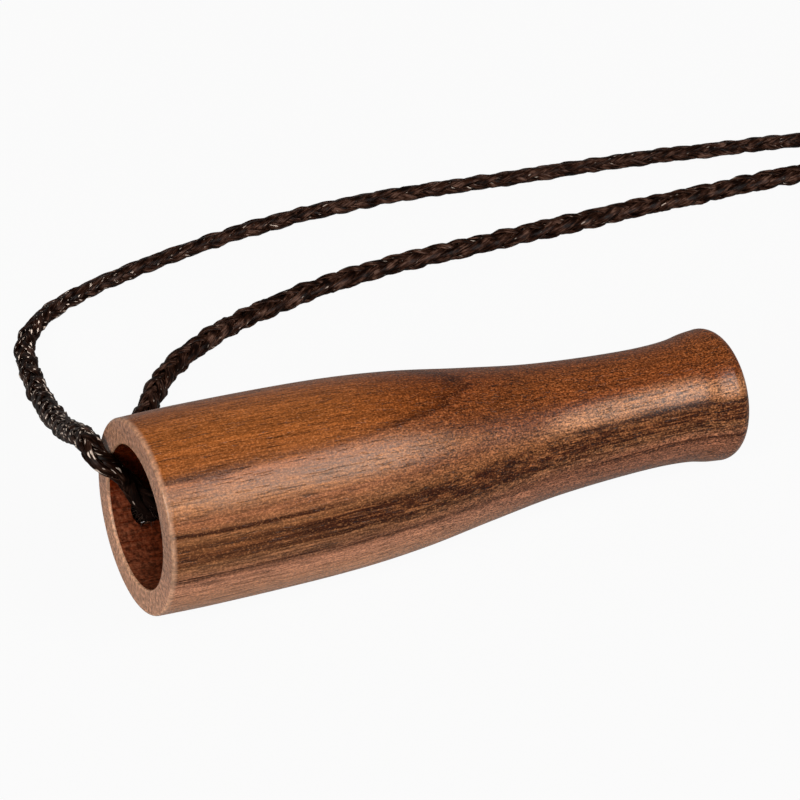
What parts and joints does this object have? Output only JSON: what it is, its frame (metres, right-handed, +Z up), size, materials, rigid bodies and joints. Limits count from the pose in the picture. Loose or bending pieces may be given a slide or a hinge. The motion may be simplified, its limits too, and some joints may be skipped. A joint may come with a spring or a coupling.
{
  "type": "predator call",
  "caption": "Turned walnut mouth-blown game call with a flared bell, a closed-reed unit in the mouthpiece and a braided neck lanyard through the bell's wall.",
  "frame": {"origin": "on the ground under the middle of the wooden barrel, which lies on its side on the bell's shoulder and the mouthpiece lip", "axes": "+X along the barrel on the ground, from the bell to the mouthpiece; +Z up; +Y to the side that the lanyard leaves"},
  "size_m": [0.2107, 0.1012, 0.0303],
  "materials": {
    "walnut": "satin oil",
    "plug_plastic": "moulded",
    "reed_brass": "rolled",
    "cork": "cut cork",
    "ring_rubber": "moulded",
    "braid": "braided cord with a soft sheen",
    "tie_strip": "soft plastic strip"
  },
  "bodies": {
    "barrel": {"walnut_barrel": "walnut", "lanyard_mouth_run": "braid", "lanyard_hole_run": "braid", "lanyard_coil": "braid", "lanyard_tail": "braid", "lanyard_knot": "braid", "coil_tie": "tie_strip"},
    "reed_unit": {"reed_plug": "plug_plastic", "reed_wedge": "cork", "o_ring_inner": "ring_rubber", "o_ring_outer": "ring_rubber"},
    "tongue": {"reed": "reed_brass"}
  },
  "joints": [
    {"name": "insert_slide", "type": "slide", "parent": "barrel", "child": "reed_unit", "axis": [0.9979, 0, -0.0646], "range_m": [0, 0.046]},
    {"name": "reed_flex", "type": "hinge", "parent": "reed_unit", "child": "tongue", "pos_m": [0.02205, 0, 0.01301], "axis": [0, 1, 0], "range_deg": [-2, 3.2], "stiffness_Nm_per_rad": 0.01}
  ]
}
